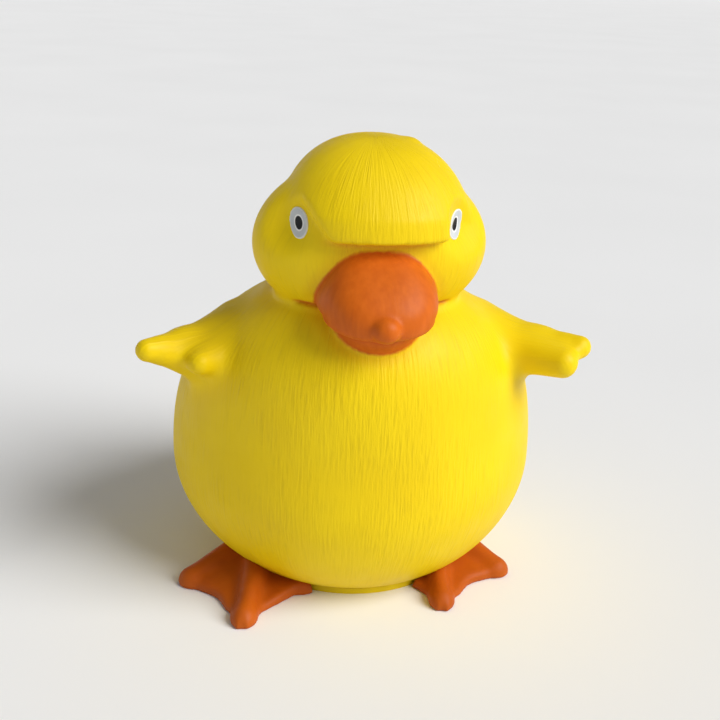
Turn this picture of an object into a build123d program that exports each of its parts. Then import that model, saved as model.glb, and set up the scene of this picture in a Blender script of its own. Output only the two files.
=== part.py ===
from build123d import *
import os
from math import cos, radians, sin

os.makedirs("parts", exist_ok=True)

# Floating chlorine dispenser: a hollow duck that carries a tablet well in its belly.
# Millimetres. The duck faces -Y and stands on Z = 0; the well's axis is the Z axis.
# "Left" and "right" are the duck's own sides, so its left is +X.

# ------------------------------------------------------------------ float (duck) dimensions
WALL = 2.5                 # thickness of the moulded skin
SEAM_Y = -20.0             # plane where front and rear shells are welded together
LEAST_HALF_SIZE = 1.0      # of any section of the hollow inside
BELLY_Z = 4.0              # underside of the skin, above the flange and its gasket
BELLY_FLAT_RADIUS = 56.0   # of the skin's flat underside
CROWN_Z = 217.5            # top of the head

# Level sections of the duck from belly to crown:
# height, half width, half depth, centre Y
SKIN_SECTIONS = [
    (BELLY_Z, BELLY_FLAT_RADIUS, BELLY_FLAT_RADIUS, 0.0),
    (14.0, 69.5, 67.0, 0.5),
    (32.0, 83.5, 79.5, 1.0),
    (58.0, 90.0, 85.5, 1.5),
    (80.0, 89.0, 85.0, 0.5),
    (100.0, 84.5, 79.5, -3.0),
    (117.0, 75.5, 69.5, -8.5),
    (130.0, 64.0, 59.0, -16.0),
    (142.0, 52.5, 46.0, -25.0),
    (155.0, 52.5, 43.0, -32.5),
    (170.0, 53.0, 42.0, -35.0),
    (184.0, 49.0, 39.5, -35.0),
    (196.0, 41.0, 35.0, -33.0),
    (206.0, 31.5, 28.0, -31.0),
    (213.0, 21.0, 19.5, -29.0),
    (CROWN_Z, 11.0, 10.5, -28.0),
]

# Upright sections of the left wing, from inside the body out to the tip:
# distance X, centre Y, centre Z, half depth, half height
WING_SECTIONS = [
    (62.0, -20.0, 106.0, 21.0, 20.0),
    (80.0, -29.0, 112.0, 17.5, 17.0),
    (95.0, -39.5, 118.5, 12.5, 13.0),
    (103.0, -45.0, 122.0, 8.0, 9.0),
    (106.0, -47.0, 123.5, 3.0, 4.0),
]

# Upright sections of each half of the bill and of the tail:
# distance from the well's axis, half width, centre Z, half height
UPPER_BILL_SECTIONS = [
    (52.0, 27.0, 158.0, 13.0),
    (70.0, 26.0, 157.0, 13.0),
    (84.0, 22.0, 151.5, 8.5),
    (93.0, 15.5, 148.0, 5.5),
    (96.5, 6.0, 147.0, 2.5),
]
LOWER_BILL_SECTIONS = [
    (50.0, 30.0, 143.0, 8.5),
    (66.0, 23.0, 142.0, 8.0),
    (78.0, 15.0, 141.0, 6.5),
    (84.0, 7.0, 141.0, 3.5),
]
TAIL_SECTIONS = [
    (58.0, 32.0, 84.0, 24.0),
    (76.0, 23.0, 94.0, 15.0),
    (89.0, 13.0, 104.0, 8.5),
    (96.5, 4.0, 110.0, 3.0),
]

EYE_POINT = (35.5, -60.5, 181.5)   # centre of the left eye's face
EYE_TURN = 50.0                    # its normal, turned from straight ahead towards the side
EYE_WIDTH = 13.0
EYE_HEIGHT = 15.0
EYE_DEPTH = 6.0

LUG_CENTRE = (0.0, 88.0, 44.0)     # tether hole under the tail
LUG_RADIUS = 7.5
LUG_THICKNESS = 5.0
TETHER_HOLE_RADIUS = 3.0

# ------------------------------------------------------------------ feet
WEB_THICKNESS = 4.5
TOE_HEIGHT = 7.5
TOE_RADIUS = 5.5
ANKLE_RADIUS = 18.0
ANKLE_HEIGHT = 14.0
# Points of a foot from its ankle, in the foot's own frame: outwards, forwards
MIDDLE_TOE = (0.0, 59.0)
OUTER_TOE = (31.0, 29.5)
INNER_TOE = (-24.0, 27.0)
WEB_NOTCH_RADIUS = 16.0
WEB_NOTCHES = ((25.3, 52.0), (-21.7, 57.0))
RIGHT_ANKLE = (-45.0, -16.0)
RIGHT_FOOT_TURN = 12.0             # outwards, degrees
LEFT_ANKLE = (42.5, -7.0)
LEFT_FOOT_TURN = -5.0

# ------------------------------------------------------------------ tablet well
BORE_RADIUS = 43.0
WELL_RADIUS = 45.0
WELL_TOP = 102.0
WELL_LID = 2.0
FLANGE_RADIUS = 54.0
FLANGE_THICKNESS = 3.0
GASKET_RADIUS = 52.5
NECK_RADIUS = 46.5
NECK_TOP = 10.0
SKIN_OPENING_RADIUS = 47.0
CLAMP_RING_RADIUS = 52.8
CLAMP_RING_THICKNESS = 3.4
SCREW_COUNT = 6
SCREW_CIRCLE = 50.0
SCREW_RADIUS = 1.5
SCREW_HEAD_RADIUS = 2.8
SCREW_HEAD_HEIGHT = 1.6
SCREW_CLEARANCE = 0.1
SCREW_TOP = BELLY_Z + WALL + CLAMP_RING_THICKNESS - 0.4

# Quarter-turn lock: three lugs on the cap run on three helical ramps in the well
LOCK_COUNT = 3
LOCK_LEAD = 24.0                   # drop of the cap for one full turn
LOCK_TRAVEL_DEG = 75.0
LUG_HALF_ANGLE = 8.0
LUG_FLOOR_Z = 12.0                 # underside of a lug at its middle, when locked
LUG_HEIGHT = 2.6
RAMP_THICKNESS = 2.5
RAMP_INNER_RADIUS = 41.0
RAMP_GAP = 0.35                    # running gap under a lug
RAMP_OVERRUN = 6.0                 # ramp left under the lug at the end of its travel
STOP_ANGLE = 10.8                  # middle of the end stop, past the lug's middle
KEY_ANGLE = 25.0                   # basket key, in the gap between two ramps

# ------------------------------------------------------------------ tablets and basket
TABLET_RADIUS = 38.1
TABLET_THICKNESS = 26.0
BASKET_INNER_RADIUS = 38.7
BASKET_RADIUS = 40.2
BASKET_FLOOR_Z = 16.4
BASKET_FLOOR = 2.0
BASKET_TOP_Z = 97.5
BASKET_SLOT_COUNT = 12
BASKET_SLOT_WIDTH = 8.0
BASKET_SLOT_HEIGHT = 66.0
KEY_WIDTH = 2.0
KEY_RADIUS = 42.4
GUIDE_WIDTH = 1.8
GUIDE_OFFSET = 3.4                 # sideways, from the key's middle to each guide rib's

# ------------------------------------------------------------------ cap and flow dial
CAP_RADIUS = 40.5
CAP_INNER_RADIUS = 38.3
CAP_LOW_Z = 0.8
CAP_TOP_Z = 16.0
PLATE_LOW_Z = 6.0
PLATE_TOP_Z = 8.5
VENT_COUNT = 8
VENT_INNER_RADIUS = 15.0
VENT_OUTER_RADIUS = 35.0
VENT_HALF_ANGLE = 9.5
SHUTTER_RADIUS = 37.6
SHUTTER_LOW_Z = 8.8
SHUTTER_THICKNESS = 1.8
STEM_RADIUS = 6.0
STEM_HOLE_RADIUS = 6.3
KNOB_LOW_Z = 0.9
KNOB_TOP_Z = 5.3
KNOB_RADIUS = 9.5
KNOB_SCREW_RADIUS = 1.5
GRIP_COUNT = 4
GRIP_THICKNESS = 2.4

# ------------------------------------------------------------------ breather and ballast
BREATHER_Y = 34.0
BREATHER_RADIUS = 4.0
BREATHER_BORE = 2.8
BREATHER_TOP_Z = 140.0
GROMMET_RADIUS = 5.5
GROMMET_LOW_Z = 122.0
GROMMET_TOP_Z = 143.0
BALLAST_INNER_RADIUS = 48.0
BALLAST_RADIUS = 58.0
BALLAST_LOW_Z = 12.0
BALLAST_HEIGHT = 9.0


def ellipse_loft(sections):
    """Closed solid through ellipses: (plane, half size along x, half size along y)."""
    with BuildPart() as solid:
        for plane, half_x, half_y in sections:
            with BuildSketch(plane):
                Ellipse(max(half_x, LEAST_HALF_SIZE), max(half_y, LEAST_HALF_SIZE))
        loft()
    return solid.part


def torso_and_head(inset):
    """The duck's main volume, drawn in by inset on every side."""
    height = CROWN_Z - BELLY_Z
    sections = []
    for z, half_width, half_depth, centre_y in SKIN_SECTIONS:
        level = BELLY_Z + inset + (z - BELLY_Z) * (height - 2 * inset) / height
        plane = Plane((0, centre_y, level))
        sections.append((plane, half_width - inset, half_depth - inset))
    return ellipse_loft(sections)


def left_wing(inset):
    """A short raised wing, drawn in by inset."""
    sections = []
    for x, centre_y, centre_z, half_depth, half_height in WING_SECTIONS:
        plane = Plane((x - inset, centre_y, centre_z), x_dir=(0, 1, 0), z_dir=(1, 0, 0))
        sections.append((plane, half_depth - inset, half_height - inset))
    return ellipse_loft(sections)


def nose_to_tail(rows, direction, inset):
    """A volume lofted forwards (-1) or backwards (+1) along Y: a half bill or the tail."""
    sections = []
    for distance, half_width, centre_z, half_height in rows:
        plane = Plane((0, direction * (distance - inset), centre_z), x_dir=(1, 0, 0), z_dir=(0, direction, 0))
        sections.append((plane, half_width - inset, half_height - inset))
    return ellipse_loft(sections)


def duck_volume(inset):
    """Every part of the duck's skin as one solid volume, drawn in by inset."""
    wing = left_wing(inset)
    pieces = [
        torso_and_head(inset),
        wing,
        mirror(wing, about=Plane.YZ),
        nose_to_tail(UPPER_BILL_SECTIONS, -1, inset),
        nose_to_tail(LOWER_BILL_SECTIONS, -1, inset),
        nose_to_tail(TAIL_SECTIONS, 1, inset),
    ]
    with BuildPart() as volume:
        for piece in pieces:
            add(piece)
    return volume.part


def eye_plane(side):
    """Plane on an eye's face, x across the eye and z straight out of it; side is +1 for the left."""
    turn = radians(EYE_TURN)
    outward = (side * sin(turn), -cos(turn), 0)
    across = (cos(turn), side * sin(turn), 0)
    return Plane((side * EYE_POINT[0], EYE_POINT[1], EYE_POINT[2]), x_dir=across, z_dir=outward)


def helical_bar(inner, outer, low_z, height, start, span):
    """Bar of rectangular section that climbs the lock's helix from angle start, over span degrees."""
    with BuildPart() as bar:
        with BuildLine(Plane.XY.offset(low_z)) as path:
            Helix(pitch=LOCK_LEAD, height=LOCK_LEAD * span / 360, radius=(inner + outer) / 2)
        with BuildSketch(Plane(path.line @ 0, x_dir=(-1, 0, 0), z_dir=path.line % 0)):
            Rectangle(outer - inner, height, align=(Align.CENTER, Align.MIN))
        sweep(is_frenet=True)
    return bar.part.rotate(Axis.Z, start)


def sector(inner, outer, half_angle):
    """Annular sector centred on the X axis, as a sketch."""
    corners = [
        (radius * cos(radians(angle)), radius * sin(radians(angle)))
        for radius, angle in (
            (inner, half_angle),
            (inner, -half_angle),
            (outer, -half_angle),
            (outer, half_angle),
        )
    ]
    with BuildSketch() as shape:
        with BuildLine():
            ThreePointArc(corners[0], (inner, 0), corners[1])
            Line(corners[1], corners[2])
            ThreePointArc(corners[2], (outer, 0), corners[3])
            Line(corners[3], corners[0])
        make_face()
    return shape.sketch


def write(builder, name):
    """Label a finished piece and write its STEP file."""
    builder.part.label = name
    export_step(builder.part, f"parts/{name}.step")


# ------------------------------------------------------------------ front and rear shells
outer_volume = duck_volume(0)
inner_volume = duck_volume(WALL)
seam_plane = Plane.XZ.offset(-SEAM_Y)

# The whole hollow skin with its openings, which the seam plane then parts into two shells
with BuildPart() as skin:
    add(outer_volume)
    with BuildSketch(Plane.YZ.offset(-LUG_THICKNESS / 2)):
        with Locations(LUG_CENTRE[1:]):
            Circle(LUG_RADIUS)
        with Locations((LUG_CENTRE[1] - LUG_RADIUS, LUG_CENTRE[2])):
            Rectangle(2 * LUG_RADIUS, 2 * LUG_RADIUS)
    extrude(amount=LUG_THICKNESS)
    add(inner_volume, mode=Mode.SUBTRACT)
    with BuildSketch(Plane.YZ.offset(-LUG_THICKNESS)):
        with Locations(LUG_CENTRE[1:]):
            Circle(TETHER_HOLE_RADIUS)
    extrude(amount=2 * LUG_THICKNESS, mode=Mode.SUBTRACT)
    with BuildSketch(Plane.XY.offset(BELLY_Z - WALL)):
        Circle(SKIN_OPENING_RADIUS)
        with PolarLocations(SCREW_CIRCLE, SCREW_COUNT):
            Circle(SCREW_RADIUS + SCREW_CLEARANCE)
    extrude(amount=3 * WALL, mode=Mode.SUBTRACT)
    for side in (1, -1):
        with BuildSketch(eye_plane(side).offset(EYE_DEPTH)):
            Ellipse(EYE_WIDTH / 2, EYE_HEIGHT / 2)
        extrude(amount=-3 * EYE_DEPTH, mode=Mode.SUBTRACT)
    with BuildSketch(Plane.XY.offset(GROMMET_LOW_Z)):
        with Locations((0, BREATHER_Y)):
            Circle(GROMMET_RADIUS)
    extrude(amount=GROMMET_TOP_Z - GROMMET_LOW_Z + WALL, mode=Mode.SUBTRACT)

with BuildPart() as front_shell:
    add(skin.part)
    split(bisect_by=seam_plane, keep=Keep.TOP)
write(front_shell, "front_shell")

with BuildPart() as rear_shell:
    add(skin.part)
    split(bisect_by=seam_plane, keep=Keep.BOTTOM)
write(rear_shell, "rear_shell")

# ------------------------------------------------------------------ eyes
for side, name in ((1, "left_eye"), (-1, "right_eye")):
    with BuildPart() as eye:
        with BuildSketch(eye_plane(side)):
            Ellipse(EYE_WIDTH / 2, EYE_HEIGHT / 2)
        extrude(amount=-EYE_DEPTH)
    write(eye, name)

# ------------------------------------------------------------------ feet
FEET = (
    ("right_foot", RIGHT_ANKLE, RIGHT_FOOT_TURN, -1),
    ("left_foot", LEFT_ANKLE, LEFT_FOOT_TURN, 1),
)
for name, ankle, turn, side in FEET:
    outward = (side * cos(radians(turn)), sin(radians(turn)), 0)
    sole = Plane((ankle[0], ankle[1], 0), x_dir=outward, z_dir=(0, 0, 1))
    toes = [(across, -side * ahead) for across, ahead in (OUTER_TOE, MIDDLE_TOE, INNER_TOE)]
    notches = [(across, -side * ahead) for across, ahead in WEB_NOTCHES]
    with BuildPart() as foot:
        with BuildSketch(sole):
            Circle(ANKLE_RADIUS)
            with Locations(*toes):
                Circle(TOE_RADIUS)
            make_hull()
            with Locations(*notches):
                Circle(WEB_NOTCH_RADIUS, mode=Mode.SUBTRACT)
        extrude(amount=WEB_THICKNESS)
        for toe in toes:
            with BuildSketch(sole):
                Circle(TOE_RADIUS)
                with Locations(toe):
                    Circle(TOE_RADIUS - 0.5)
                make_hull()
            extrude(amount=TOE_HEIGHT)
        with BuildSketch(sole):
            Circle(ANKLE_RADIUS)
        extrude(amount=ANKLE_HEIGHT)
        add(outer_volume, mode=Mode.SUBTRACT)
        with BuildSketch(Plane.XY.offset(-1)):
            Circle(BELLY_FLAT_RADIUS + 0.5)
        extrude(amount=BELLY_Z + 1 + ANKLE_HEIGHT, mode=Mode.SUBTRACT)
    write(foot, name)

# ------------------------------------------------------------------ well housing
ramp_low_z = LUG_FLOOR_Z - RAMP_GAP - RAMP_THICKNESS
ramp_back = LOCK_TRAVEL_DEG + RAMP_OVERRUN
ramp_span = ramp_back + STOP_ANGLE + 1.5
ramps = [
    helical_bar(
        RAMP_INNER_RADIUS,
        BORE_RADIUS + 0.5,
        ramp_low_z - LOCK_LEAD * ramp_back / 360,
        RAMP_THICKNESS,
        360 * index / LOCK_COUNT - ramp_back,
        ramp_span,
    )
    for index in range(LOCK_COUNT)
]

with BuildPart() as well_housing:
    with BuildSketch():
        Circle(FLANGE_RADIUS)
    extrude(amount=FLANGE_THICKNESS)
    with BuildSketch():
        Circle(NECK_RADIUS)
    extrude(amount=NECK_TOP)
    with BuildSketch():
        Circle(WELL_RADIUS)
    extrude(amount=WELL_TOP)
    with BuildSketch():
        Circle(BORE_RADIUS)
    extrude(amount=WELL_TOP - WELL_LID, mode=Mode.SUBTRACT)
    for ramp in ramps:
        add(ramp)
    with BuildSketch(Plane.XY.offset(ramp_low_z)):
        with PolarLocations((RAMP_INNER_RADIUS + BORE_RADIUS + 0.5) / 2, LOCK_COUNT, start_angle=STOP_ANGLE):
            Rectangle(BORE_RADIUS + 0.5 - RAMP_INNER_RADIUS, 1.8)
    extrude(amount=RAMP_THICKNESS + RAMP_GAP + LUG_HEIGHT)
    with BuildSketch(Plane.XY.offset(BASKET_FLOOR_Z + 2)):
        with PolarLocations(0, LOCK_COUNT, start_angle=KEY_ANGLE):
            with Locations(
                ((RAMP_INNER_RADIUS + BORE_RADIUS + 0.5) / 2, GUIDE_OFFSET),
                ((RAMP_INNER_RADIUS + BORE_RADIUS + 0.5) / 2, -GUIDE_OFFSET),
            ):
                Rectangle(BORE_RADIUS + 0.5 - RAMP_INNER_RADIUS, GUIDE_WIDTH)
    extrude(amount=BASKET_TOP_Z - BASKET_FLOOR_Z - 2)
    with BuildSketch(Plane.XY.offset(-1)):
        with PolarLocations(SCREW_CIRCLE, SCREW_COUNT):
            Circle(SCREW_RADIUS + SCREW_CLEARANCE)
    extrude(amount=FLANGE_THICKNESS + 2, mode=Mode.SUBTRACT)
    with BuildSketch(Plane.XY.offset(-1)):
        with PolarLocations(SCREW_CIRCLE, SCREW_COUNT):
            Circle(SCREW_HEAD_RADIUS + SCREW_CLEARANCE)
    extrude(amount=SCREW_HEAD_HEIGHT + 1.2, mode=Mode.SUBTRACT)
    with BuildSketch(Plane.XY.offset(WELL_TOP - WELL_LID - 1)):
        with Locations((0, BREATHER_Y)):
            Circle(BREATHER_RADIUS)
    extrude(amount=WELL_LID + 2, mode=Mode.SUBTRACT)
write(well_housing, "well_housing")

# ------------------------------------------------------------------ gasket, clamp ring and screws
with BuildPart() as skin_gasket:
    with BuildSketch(Plane.XY.offset(FLANGE_THICKNESS)):
        Circle(GASKET_RADIUS)
        Circle(SKIN_OPENING_RADIUS, mode=Mode.SUBTRACT)
        with PolarLocations(SCREW_CIRCLE, SCREW_COUNT):
            Circle(SCREW_RADIUS + SCREW_CLEARANCE, mode=Mode.SUBTRACT)
    extrude(amount=BELLY_Z - FLANGE_THICKNESS)
write(skin_gasket, "skin_gasket")

with BuildPart() as clamp_ring:
    with BuildSketch(Plane.XY.offset(BELLY_Z + WALL)):
        Circle(CLAMP_RING_RADIUS)
        Circle(SKIN_OPENING_RADIUS, mode=Mode.SUBTRACT)
        with PolarLocations(SCREW_CIRCLE, SCREW_COUNT):
            Circle(SCREW_RADIUS, mode=Mode.SUBTRACT)
    extrude(amount=CLAMP_RING_THICKNESS)
write(clamp_ring, "clamp_ring")

with BuildPart() as clamp_screws:
    with BuildSketch(Plane.XY.offset(0.2)):
        with PolarLocations(SCREW_CIRCLE, SCREW_COUNT):
            Circle(SCREW_HEAD_RADIUS)
    extrude(amount=SCREW_HEAD_HEIGHT)
    with BuildSketch(Plane.XY.offset(0.2)):
        with PolarLocations(SCREW_CIRCLE, SCREW_COUNT):
            Circle(SCREW_RADIUS)
    extrude(amount=SCREW_TOP - 0.2)
    with BuildSketch(Plane.XY.offset(0.2)):
        with PolarLocations(SCREW_CIRCLE, SCREW_COUNT):
            Rectangle(3.6, 0.7)
            Rectangle(0.7, 3.6)
    extrude(amount=0.9, mode=Mode.SUBTRACT)
write(clamp_screws, "clamp_screws")

# ------------------------------------------------------------------ ballast and breather
with BuildPart() as ballast_ring:
    with BuildSketch(Plane.XY.offset(BALLAST_LOW_Z)):
        Circle(BALLAST_RADIUS)
        Circle(BALLAST_INNER_RADIUS, mode=Mode.SUBTRACT)
    extrude(amount=BALLAST_HEIGHT)
    chamfer(ballast_ring.edges().filter_by(GeomType.CIRCLE), length=1)
write(ballast_ring, "ballast_ring")

with BuildPart() as breather_tube:
    with BuildSketch(Plane.XY.offset(WELL_TOP - WELL_LID)):
        with Locations((0, BREATHER_Y)):
            Circle(BREATHER_RADIUS)
            Circle(BREATHER_BORE, mode=Mode.SUBTRACT)
    extrude(amount=BREATHER_TOP_Z - WELL_TOP + WELL_LID)
write(breather_tube, "breather_tube")

with BuildPart() as breather_grommet:
    with BuildSketch(Plane.XY.offset(GROMMET_LOW_Z)):
        with Locations((0, BREATHER_Y)):
            Circle(GROMMET_RADIUS)
            Circle(BREATHER_RADIUS, mode=Mode.SUBTRACT)
    extrude(amount=GROMMET_TOP_Z - GROMMET_LOW_Z)
write(breather_grommet, "breather_grommet")

# ------------------------------------------------------------------ basket
with BuildPart() as tablet_basket:
    with BuildSketch(Plane.XY.offset(BASKET_FLOOR_Z)):
        Circle(BASKET_RADIUS)
    extrude(amount=BASKET_TOP_Z - BASKET_FLOOR_Z)
    with BuildSketch(Plane.XY.offset(BASKET_FLOOR_Z + BASKET_FLOOR)):
        Circle(BASKET_INNER_RADIUS)
    extrude(amount=BASKET_TOP_Z - BASKET_FLOOR_Z, mode=Mode.SUBTRACT)
    slot_plane_z = (BASKET_FLOOR_Z + BASKET_TOP_Z) / 2
    for index in range(BASKET_SLOT_COUNT // 2):
        angle = radians(180 * (index + 0.5) / (BASKET_SLOT_COUNT // 2))
        through = (cos(angle), sin(angle), 0)
        with BuildSketch(Plane((0, 0, slot_plane_z), x_dir=(0, 0, 1), z_dir=through)):
            SlotOverall(BASKET_SLOT_HEIGHT, BASKET_SLOT_WIDTH)
        extrude(amount=BASKET_RADIUS + 5, both=True, mode=Mode.SUBTRACT)
    with BuildSketch(Plane.XY.offset(BASKET_FLOOR_Z - 1)):
        Circle(4)
        for radius, count in ((14, 6), (28, 12)):
            with PolarLocations(radius, count):
                Circle(4)
    extrude(amount=BASKET_FLOOR + 2, mode=Mode.SUBTRACT)
    with BuildSketch(Plane.XY.offset(BASKET_FLOOR_Z + 4)):
        with PolarLocations((BASKET_INNER_RADIUS + 0.8 + KEY_RADIUS) / 2, LOCK_COUNT, start_angle=KEY_ANGLE):
            Rectangle(KEY_RADIUS - BASKET_INNER_RADIUS - 0.8, KEY_WIDTH)
    extrude(amount=BASKET_TOP_Z - BASKET_FLOOR_Z - 6)
write(tablet_basket, "tablet_basket")

# ------------------------------------------------------------------ tablets
for index, name in enumerate(("tablet_lower", "tablet_middle", "tablet_upper")):
    tablet_low_z = BASKET_FLOOR_Z + BASKET_FLOOR + index * TABLET_THICKNESS
    with BuildPart() as tablet:
        with BuildSketch(Plane.XY.offset(tablet_low_z)):
            Circle(TABLET_RADIUS)
        extrude(amount=TABLET_THICKNESS)
        chamfer(tablet.edges().filter_by(GeomType.CIRCLE), length=2, length2=1.2)
    write(tablet, name)

# ------------------------------------------------------------------ vent cap
lugs = [
    helical_bar(
        CAP_RADIUS - 0.4,
        BORE_RADIUS - 0.4,
        LUG_FLOOR_Z - LOCK_LEAD * LUG_HALF_ANGLE / 360,
        LUG_HEIGHT,
        360 * index / LOCK_COUNT - LUG_HALF_ANGLE,
        2 * LUG_HALF_ANGLE,
    )
    for index in range(LOCK_COUNT)
]
vent = sector(VENT_INNER_RADIUS, VENT_OUTER_RADIUS, VENT_HALF_ANGLE)

with BuildPart() as vent_cap:
    with BuildSketch(Plane.XY.offset(CAP_LOW_Z)):
        Circle(CAP_RADIUS)
        Circle(CAP_INNER_RADIUS, mode=Mode.SUBTRACT)
    extrude(amount=CAP_TOP_Z - CAP_LOW_Z)
    with BuildSketch(Plane.XY.offset(PLATE_LOW_Z)):
        Circle(CAP_INNER_RADIUS + 0.5)
        Circle(STEM_HOLE_RADIUS, mode=Mode.SUBTRACT)
        with PolarLocations(0, VENT_COUNT):
            add(vent, mode=Mode.SUBTRACT)
    extrude(amount=PLATE_TOP_Z - PLATE_LOW_Z)
    with BuildSketch(Plane.XY.offset(CAP_LOW_Z)):
        with PolarLocations(29.5, GRIP_COUNT, start_angle=180 / VENT_COUNT):
            Rectangle(18.5, GRIP_THICKNESS)
    extrude(amount=PLATE_LOW_Z - CAP_LOW_Z + 0.5)
    with BuildSketch(Plane.XY.offset(PLATE_TOP_Z)):
        with Locations((CAP_INNER_RADIUS - 0.7, 0)):
            Rectangle(2, 2.4)
    extrude(amount=SHUTTER_LOW_Z + SHUTTER_THICKNESS - PLATE_TOP_Z)
    for lug in lugs:
        add(lug)
write(vent_cap, "vent_cap")

# ------------------------------------------------------------------ flow dial
DIAL_TRAVEL_DEG = 180 / VENT_COUNT
notch_half_angle = DIAL_TRAVEL_DEG / 2 + 3
stop_notch = sector(SHUTTER_RADIUS - 2, SHUTTER_RADIUS + 2, notch_half_angle)

with BuildPart() as shutter_disc:
    with BuildSketch(Plane.XY.offset(SHUTTER_LOW_Z)):
        Circle(SHUTTER_RADIUS)
        with PolarLocations(0, VENT_COUNT):
            add(vent, mode=Mode.SUBTRACT)
        with PolarLocations(0, 1, start_angle=DIAL_TRAVEL_DEG / 2):
            add(stop_notch, mode=Mode.SUBTRACT)
    extrude(amount=SHUTTER_THICKNESS)
    with BuildSketch(Plane.XY.offset(KNOB_TOP_Z)):
        Circle(STEM_RADIUS)
    extrude(amount=SHUTTER_LOW_Z - KNOB_TOP_Z + 0.5)
    with BuildSketch(Plane.XY.offset(KNOB_TOP_Z)):
        Circle(KNOB_SCREW_RADIUS)
    extrude(amount=4.5, mode=Mode.SUBTRACT)
write(shutter_disc, "shutter_disc")

with BuildPart() as dial_washer:
    with BuildSketch(Plane.XY.offset(KNOB_TOP_Z)):
        Circle(KNOB_RADIUS)
        Circle(STEM_HOLE_RADIUS, mode=Mode.SUBTRACT)
    extrude(amount=PLATE_LOW_Z - KNOB_TOP_Z - 0.1)
write(dial_washer, "dial_washer")

with BuildPart() as dial_knob:
    with BuildSketch(Plane.XY.offset(KNOB_LOW_Z + 2.2)):
        Circle(KNOB_RADIUS)
    extrude(amount=KNOB_TOP_Z - KNOB_LOW_Z - 2.2)
    with BuildSketch(Plane.XY.offset(KNOB_LOW_Z)):
        SlotOverall(36, 7)
    extrude(amount=KNOB_TOP_Z - KNOB_LOW_Z)
    with BuildSketch(Plane.XY.offset(KNOB_LOW_Z - 1)):
        Circle(KNOB_SCREW_RADIUS + SCREW_CLEARANCE)
    extrude(amount=KNOB_TOP_Z + 1, mode=Mode.SUBTRACT)
    with BuildSketch(Plane.XY.offset(KNOB_LOW_Z - 1)):
        Circle(SCREW_HEAD_RADIUS)
    extrude(amount=SCREW_HEAD_HEIGHT + 1, mode=Mode.SUBTRACT)
write(dial_knob, "dial_knob")

with BuildPart() as knob_screw:
    with BuildSketch(Plane.XY.offset(KNOB_LOW_Z + 0.1)):
        Circle(SCREW_HEAD_RADIUS - SCREW_CLEARANCE)
    extrude(amount=SCREW_HEAD_HEIGHT - 0.1)
    with BuildSketch(Plane.XY.offset(KNOB_LOW_Z + 0.1)):
        Circle(KNOB_SCREW_RADIUS)
    extrude(amount=KNOB_TOP_Z + 4 - KNOB_LOW_Z)
    with BuildSketch(Plane.XY.offset(KNOB_LOW_Z)):
        Rectangle(3.6, 0.7)
        Rectangle(0.7, 3.6)
    extrude(amount=0.9, mode=Mode.SUBTRACT)
write(knob_screw, "knob_screw")
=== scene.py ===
from math import cos, radians, sin

import bmesh
import bpy
import numpy as np
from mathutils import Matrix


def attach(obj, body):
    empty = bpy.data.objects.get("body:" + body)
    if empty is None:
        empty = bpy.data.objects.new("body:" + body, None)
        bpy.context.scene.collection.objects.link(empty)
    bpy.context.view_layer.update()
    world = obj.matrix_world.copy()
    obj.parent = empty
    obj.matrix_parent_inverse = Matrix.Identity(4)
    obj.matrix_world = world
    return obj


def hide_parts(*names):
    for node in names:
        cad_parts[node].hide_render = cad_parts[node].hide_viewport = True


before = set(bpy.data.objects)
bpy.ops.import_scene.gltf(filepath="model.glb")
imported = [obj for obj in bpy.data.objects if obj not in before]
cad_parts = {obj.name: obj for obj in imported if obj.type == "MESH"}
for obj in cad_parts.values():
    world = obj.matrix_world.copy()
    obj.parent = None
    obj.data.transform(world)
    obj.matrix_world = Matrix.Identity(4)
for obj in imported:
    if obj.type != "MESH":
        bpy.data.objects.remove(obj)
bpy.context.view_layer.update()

import openvdb as vdb
from mathutils import Matrix, Vector

# Duck-shaped floating chlorine dispenser. The skin, eyes, feet and breather grommet are sculpted
# here as smooth distance fields in millimetres; the dispenser's other parts are the CAD nodes with
# materials. The duck faces -Y. "Left" is the duck's own left, +X.
MM = 0.001

# Sculpting grids
STEP = 1.3      # of the skin
FINE_STEP = 0.45                       # of the eyes and the grommet
FOOT_STEP = 0.8
SKIN_GRID_LOW = (-112.0, -104.0, -4.0)
SKIN_GRID_HIGH = (112.0, 104.0, 224.0)


# ---------------------------------------------------------------- distance fields
def smooth_union(a, b, radius):
    """Both volumes, with a fillet of about radius where they meet."""
    mix = np.clip(0.5 + 0.5 * (b - a) / radius, 0.0, 1.0)
    return b + (a - b) * mix - radius * mix * (1.0 - mix)


def smooth_common(a, b, radius):
    """What both volumes share, with a rounded edge."""
    return -smooth_union(-a, -b, radius)


def smooth_cut(a, b, radius):
    """Volume a without volume b, with a rounded edge."""
    return -smooth_union(-a, b, radius)


def egg(p, centre, low, high, power=2.0):
    """Distance to an ellipsoid whose radii differ below and above its centre on each axis. A power
    above 2 makes it boxier."""
    radii = [np.where(p[i] < centre[i], low[i], high[i]) for i in range(3)]
    scaled = [np.abs(p[i] - centre[i]) / radii[i] for i in range(3)]
    level = sum(s ** power for s in scaled) ** (1.0 / power)
    slope = sum((s ** (power - 1) / radii[i]) ** 2 for i, s in enumerate(scaled))
    slope = np.sqrt(slope) / np.maximum(level, 1e-6) ** (power - 1)
    return (level - 1.0) / np.maximum(slope, 1.0 / max(high))


def ellipsoid(p, centre, radii):
    """Distance to an ellipsoid."""
    return egg(p, centre, radii, radii)


def limb(p, start, end, start_radius, end_radius):
    """Distance to a tapered rounded rod."""
    start = np.array(start, float)
    along = np.array(end, float) - start
    length2 = float(along @ along)
    t = sum((p[i] - start[i]) * along[i] for i in range(3)) / length2
    t = np.clip(t, 0.0, 1.0)
    gap = sum((p[i] - start[i] - along[i] * t) ** 2 for i in range(3))
    return np.sqrt(gap) - (start_radius + (end_radius - start_radius) * t)


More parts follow.
